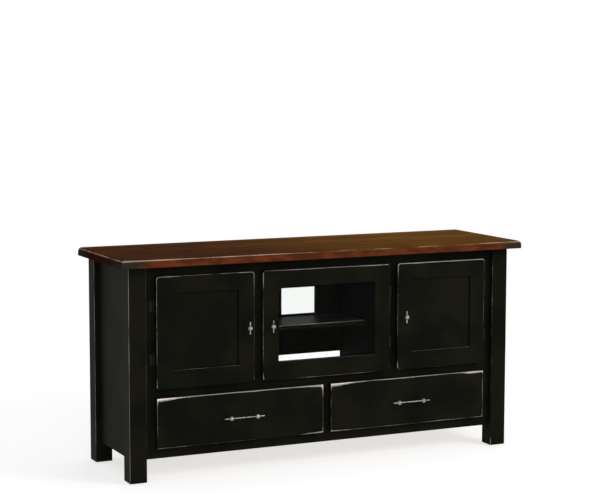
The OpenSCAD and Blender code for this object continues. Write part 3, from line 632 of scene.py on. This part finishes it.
def make_door_frame(door, rub, corners, inner_rub_and_highlight):
    """The four boards round a door's panel or glass. rub is the wear of the door's outer edges, whose pale
    line is also a painted highlight, corners is how far it spreads at its corners, and the last argument is
    the faint pale line on the lower rail's upper edge: a painted highlight where that ledge catches light,
    with a little wear."""
    low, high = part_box(door + "_stiles")
    left_x, right_x = low.x + STILE_W, high.x - STILE_W
    lower_z, upper_z = low.z + LOWER_RAIL_H, high.z - UPPER_RAIL_H
    ends = {"top": rub["top"], "bottom": rub["bottom"], "front": 1.0}
    make_boards(door + "_painted_stiles", door, "black_paint", PAINT_UPRIGHT, door + "_stiles", [
        (low, (left_x, high.y, high.z), eased(OUTER_ARRIS, right=INNER_ARRIS), {"left": rub["left"], **ends},
         (corners[0], 0, corners[2], 0), (("left", "bottom"), ("left", "top"))),
        ((right_x, low.y, low.z), high, eased(OUTER_ARRIS, left=INNER_ARRIS),
         {"right": rub["right"], **ends}, (0, corners[1], 0, corners[3]),
         (("right", "bottom"), ("right", "top")))])
    make_boards(door + "_painted_rails", door, "black_paint", PAINT_LEVEL, door + "_rails", [
        ((left_x, low.y, low.z), (right_x, high.y, lower_z),
         eased(OUTER_ARRIS, "left", "right", top=INNER_ARRIS),
         {"top": inner_rub_and_highlight, "bottom": rub["bottom"], "front": 1.0}),
        ((left_x, low.y, upper_z), (right_x, high.y, high.z),
         eased(OUTER_ARRIS, "left", "right", bottom=INNER_ARRIS), {"top": rub["top"], "front": 1.0})])


def make_raised_panel(door):
    """A panel with a flat field, a wide bevel round it, and a tongue in the groove of the frame."""
    low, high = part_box(door + "_panel")
    tongue_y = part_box(door + "_stiles")[0].y + PANEL_FRONT_SETBACK
    bm = new_shape()
    cube_between(bm, (low.x, tongue_y, low.z), high)
    front = [f for f in bm.faces if f.normal.y < -0.9]
    bmesh.ops.inset_region(bm, faces=front, thickness=PANEL_TONGUE, depth=0.0, use_even_offset=True)
    bmesh.ops.inset_region(bm, faces=front, thickness=PANEL_BEVEL, depth=tongue_y - low.y,
                           use_even_offset=True)
    bevel(bm, list(front[0].edges), PANEL_ARRIS, FINE_FACETS)
    mark_wear(bm, set(), low, high, {}, (0, 0, 0, 0))
    make_piece(door + "_painted_panel", bm, door, "black_paint", PAINT_UPRIGHT, door + "_panel")


make_door_frame("door_left", {
    "left": ((322, 0.8), (350, 0.6), (395, 0.6), (440, 0.9), (610, 0.8), (662, 1.0)),
    "right": ((322, 0.7), (350, 0.5), (440, 0.7), (600, 0.8), (662, 1.3)),
    "top": ((-597, 1.0), (-548, 1.0), (-499, 0.8), (-352, 0.8), (-303, 1.1)),
    "bottom": 0.3}, (5, 5, 13, 11), 0.06)
make_door_frame("door_centre", {
    "left": ((322, 1.4), (350, 0.6), (395, 0.8), (440, 0.6), (490, 0.7), (550, 0.6), (662, 1.0)),
    "right": ((322, 0.7), (395, 0.4), (490, 0.6), (550, 0.9), (610, 0.5), (662, 0.6)),
    "top": ((-204, 0.7), (-136, 1.1), (-68, 1.2), (0, 0.9), (136, 1.3), (204, 1.4)),
    "bottom": ((-204, 0.3), (-68, 1.1), (0, 0.7), (136, 0.9), (204, 0.4))}, (9, 9, 12, 11), 0.03)
make_door_frame("door_right", {
    "left": ((322, 1.1), (350, 0.4), (395, 0.4), (440, 0.8), (490, 0.6), (610, 0.6), (662, 1.0)),
    "right": ((322, 0.6), (395, 0.5), (440, 0.7), (490, 0.9), (550, 0.7), (662, 0.7)),
    "top": ((303, 1.3), (352, 1.7), (401, 1.2), (450, 1.1), (548, 1.6), (597, 1.3)),
    "bottom": ((303, 0.5), (401, 0.5), (450, 0.6), (597, 0.4))}, (11, 5, 13, 13), 0.05)
make_raised_panel("door_left")
make_raised_panel("door_right")


# Drawers

def make_drawer(drawer, rub, corners):
    """A drawer's painted front, with its wear, and the sides and ends of its maple box."""
    low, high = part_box(drawer + "_front")
    make_boards(drawer + "_painted_front", drawer, "black_paint", PAINT_LEVEL, drawer + "_front",
                [(low, high, eased(OUTER_ARRIS), {"front": 1.0, **rub}, corners)])
    low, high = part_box(drawer + "_sides")
    arris = eased(BOX_ARRIS, "front")
    make_boards(drawer + "_maple_sides", drawer, "bare_wood", MAPLE_DEEP, drawer + "_sides", [
        (low, (low.x + BOX_WALL, high.y, high.z), arris), ((high.x - BOX_WALL, low.y, low.z), high, arris)])
    low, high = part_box(drawer + "_ends")
    arris = eased(BOX_ARRIS, "left", "right")
    make_boards(drawer + "_maple_ends", drawer, "bare_wood", MAPLE_WIDE, drawer + "_ends", [
        (low, (high.x, low.y + BOX_WALL, high.z), arris), ((low.x, high.y - BOX_WALL, low.z), high, arris)])


make_drawer("drawer_left", {
    "top": ((-626, 4.3), (-591, 3.6), (-565, 2.8), (-530, 1.6), (-405, 1.1), (-333, 1.2), (-260, 1.9),
            (-187, 1.3), (-120, 1.3), (-72, 1.9), (-15, 3.9)),
    "left": ((127, 0.4), (158, 0.9), (225, 0.7), (270, 0.8), (281, 1.2)),
    "right": ((127, 1.1), (158, 0.8), (225, 0.7), (251, 1.5), (281, 1.8)),
    "bottom": ((-613, 1.1), (-591, 0.8), (-565, 0.7), (-530, 0.9), (-475, 0.6), (-333, 0.8), (-120, 0.5),
               (-72, 1.4), (-35, 2.3))}, (3, 6, 8, 9))
make_drawer("drawer_right", {
    "top": ((15, 4.5), (50, 4.2), (76, 2.9), (111, 1.5), (166, 0.9), (236, 1.5), (308, 1.5), (381, 1.0),
            (521, 1.0), (569, 3.6), (626, 3.1)),
    "left": ((127, 0.7), (158, 0.8), (251, 0.4), (270, 0.7), (281, 1.2)),
    "right": ((127, 1.1), (158, 0.7), (225, 1.3), (251, 1.3), (270, 0.8), (281, 1.1)),
    "bottom": ((28, 1.8), (50, 1.4), (76, 1.3), (111, 0.8), (166, 0.7), (236, 0.9), (308, 0.7),
               (381, 0.7), (454, 1.4), (521, 0.75), (569, 0.85), (606, 1.1))}, (8, 6, 8, 8))


# Knobs and pulls

# How far the middle of a ball stands out from the front, and the ball's radius, in mm
KNOB_REACH = 21.0
KNOB_BALL = 8.5
PULL_REACH = 22.0
PULL_BALL = 8.0
# Length, radius and waist of the bar through the balls, in mm
KNOB_BAR = (44.0, 2.4, 1.5)
PULL_BAR = (147.0, 2.2, 1.9)
# Where a pull's two stems stand, in mm from its middle
PULL_STEMS = (-48.0, 48.0)


def turn(bm, profile, centre, axis):
    """Spins a profile of (distance along the axis, radius) pairs in mm round an axis through centre."""
    axis, centre = Vector(axis), Vector(centre)
    out = axis.orthogonal().normalized()
    verts = [bm.verts.new(centre + axis * along * MM + out * radius * MM) for along, radius in profile]
    edges = [bm.edges.new(pair) for pair in zip(verts, verts[1:])]
    bmesh.ops.spin(bm, geom=verts + edges, cent=centre, axis=axis, angle=math.tau, steps=TURNED_FACETS,
                   use_merge=True)


def stem_profile(reach, ball):
    """Foot, neck and ball of a knob or of one post of a pull, from the front's face outwards."""
    neck = math.radians(28)
    angles = [neck + (math.pi - neck) * step / BALL_FACETS for step in range(BALL_FACETS + 1)]
    return [(0.0, 0.0), (0.0, 6.0), (1.2, 6.0), (2.0, 5.4), (2.6, 4.4), (4.5, 3.5),
            (reach - ball - 1.5, 3.3), *[(reach - ball * math.cos(a), ball * math.sin(a)) for a in angles]]


def bar_profile(length, radius, waist):
    """A round bar that is thin in the middle and swells to a pointed bead at each end, from end to end."""
    half = length / 2
    outwards = [(0.0, waist), (half - 13.0, waist), (half - 10.0, radius * 0.9), (half - 7.0, radius),
                (half - 3.5, radius * 0.92), (half - 1.0, radius * 0.6), (half, 0.0)]
    return [(-along, r) for along, r in reversed(outwards[1:])] + outwards


def make_handle(name, node, body, spots, reach, ball, bar, bar_axis):
    """A knob or a pull: a stem with a ball at each spot, and one bar through the balls."""
    low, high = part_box(node)
    middle = (low + high) / 2
    face_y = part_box(body + ("_stiles" if "door" in body else "_front"))[0].y
    bm = new_shape()
    for offset in spots:
        turn(bm, stem_profile(reach, ball), (middle.x + offset * MM, face_y, middle.z), (0, -1, 0))
    turn(bm, bar_profile(*bar), (middle.x, face_y - reach * MM, middle.z), bar_axis)
    bmesh.ops.remove_doubles(bm, verts=bm.verts, dist=0.005 * MM)
    bmesh.ops.recalc_face_normals(bm, faces=bm.faces)
    make_piece(name, bm, body, "pewter", NICKEL, node)


for door in ("door_left", "door_centre", "door_right"):
    make_handle(door + "_nickel_knob", door + "_knob", door, (0.0,), KNOB_REACH, KNOB_BALL, KNOB_BAR,
                (0, 0, 1))
for drawer in ("drawer_left", "drawer_right"):
    make_handle(drawer + "_nickel_pull", drawer + "_pull", drawer, PULL_STEMS, PULL_REACH, PULL_BALL,
                PULL_BAR, (1, 0, 0))


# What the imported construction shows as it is

KEPT = {
    PAINT_PLAIN: ["partition_left", "partition_right", "deck", "back_panel_centre", "left_shelf",
                  "right_shelf", "door_centre_beads"],
    MAPLE_WIDE: ["floor_panel", "top_battens", "drawer_left_bottom", "drawer_right_bottom"],
    MAPLE_DEEP: ["drawer_partition", "slide_spacers"],
    ZINC: ["shelf_pins", "cabinet_slides", "drawer_left_slides", "drawer_right_slides"],
    BRONZE: ["frame_hinges", "door_left_hinges", "door_centre_hinges", "door_right_hinges"],
    NYLON: ["foot_glides"],
    SOFT: ["bumpers"],
    GLASS: ["door_centre_glass"],
}
for material, names in KEPT.items():
    for name in names:
        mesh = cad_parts[name].data
        mesh.materials.clear()
        mesh.materials.append(material)


# Floor, light and camera

FLOOR_RADIUS = 2.4
FLOOR_FACETS = 96
# The floor's own light, which brings it to white where it is seen directly
FLOOR_GLOW = 0.66


def seen_directly(tree):
    """1 for the rays of the camera, of gloss and through glass, and 0 for the light that falls on things."""
    path = add(tree, "LightPath").node.outputs
    seen = add(tree, "Math", {0: path["Is Camera Ray"], 1: path["Is Glossy Ray"]}, operation="MAXIMUM")
    return add(tree, "Math", {0: seen, 1: path["Is Transmission Ray"]}, operation="MAXIMUM")


def make_floor():
    """A pale studio floor, which the camera, gloss and glass see evenly white, with the stand's shadow."""
    bm = bmesh.new()
    bmesh.ops.create_circle(bm, cap_ends=True, radius=FLOOR_RADIUS, segments=FLOOR_FACETS)
    mesh = bpy.data.meshes.new("studio_floor")
    bm.to_mesh(mesh)
    bm.free()
    floor = bpy.data.objects.new("studio_floor", mesh)
    bpy.context.scene.collection.objects.link(floor)
    material, tree, _ = new_material("matt_white_studio_floor")
    seen = seen_directly(tree)
    glow = add(tree, "Math", {0: seen, 1: FLOOR_GLOW}, operation="MULTIPLY")
    colour = add(tree, "Mix", {0: seen, MIX_A: linear("#dcdcdc"), MIX_B: linear("#b4b4b4")}, MIX_OUT,
                 data_type="RGBA")
    finish_material(tree, {"Base Color": colour, "Roughness": 0.9, "Specular IOR Level": 0.0,
                           "Emission Color": (1.0, 1.0, 1.0, 1.0), "Emission Strength": glow})
    mesh.materials.append(material)


def make_world():
    """A soft studio, a little brighter overhead, whose backdrop the camera, gloss and glass see white."""
    world = bpy.data.worlds.new("studio")
    bpy.context.scene.world = world
    world.use_nodes = True
    tree = world.node_tree
    tree.nodes.clear()
    direction = add(tree, "TexCoord", out="Generated")
    _, _, up = add(tree, "SeparateXYZ", {0: direction}).node.outputs
    level = add(tree, "MapRange", {"Value": up, "From Min": -0.1, "To Min": 0.35, "To Max": 0.6})
    strength = add(tree, "Mix", {0: seen_directly(tree), 2: level, 3: 1.0})
    backdrop = add(tree, "Background", {"Color": (1.0, 1.0, 1.0, 1.0), "Strength": strength})
    output = tree.nodes.new("ShaderNodeOutputWorld")
    tree.links.new(backdrop, output.inputs["Surface"])


def softbox(name, place, target, size, power):
    """A square softbox at a place, turned towards a target."""
    light = bpy.data.lights.new(name, "AREA")
    light.shape = "SQUARE"
    light.size = size
    light.energy = power
    lamp = bpy.data.objects.new(name, light)
    lamp.location = place
    lamp.rotation_euler = (Vector(target) - Vector(place)).to_track_quat("-Z", "Y").to_euler()
    bpy.context.scene.collection.objects.link(lamp)


def make_camera():
    """The camera, where the photographer stood."""
    camera = bpy.data.cameras.new("photographer")
    camera.lens = LENS_MM
    camera.sensor_width = SENSOR_MM
    camera.sensor_fit = "HORIZONTAL"
    camera.shift_y = CAMERA_SHIFT_Y
    viewer = bpy.data.objects.new("photographer", camera)
    viewer.location = CAMERA_PLACE
    turned = (Matrix.Rotation(-CAMERA_YAW, 3, "Z") @ Matrix.Rotation(math.pi / 2 - CAMERA_PITCH, 3, "X")
              @ Matrix.Rotation(CAMERA_ROLL, 3, "Z"))
    viewer.rotation_euler = turned.to_euler()
    bpy.context.scene.collection.objects.link(viewer)
    bpy.context.scene.camera = viewer


make_floor()
make_world()
softbox("key_front_right", (2.6, -3.2, 2.6), (0.0, 0.0, 0.4), 1.6, 90.0)
softbox("fill_front_left", (-1.6, -3.8, 1.5), (0.0, 0.0, 0.4), 1.8, 45.0)
softbox("overhead", (0.0, 0.3, 3.0), (0.0, 0.0, 0.4), 2.0, 12.0)
softbox("rear_low", (0.9, 3.2, 0.36), (0.0, 0.0, 0.4), 0.68, 24.0)
make_camera()
bpy.context.scene.view_settings.view_transform = "Standard"
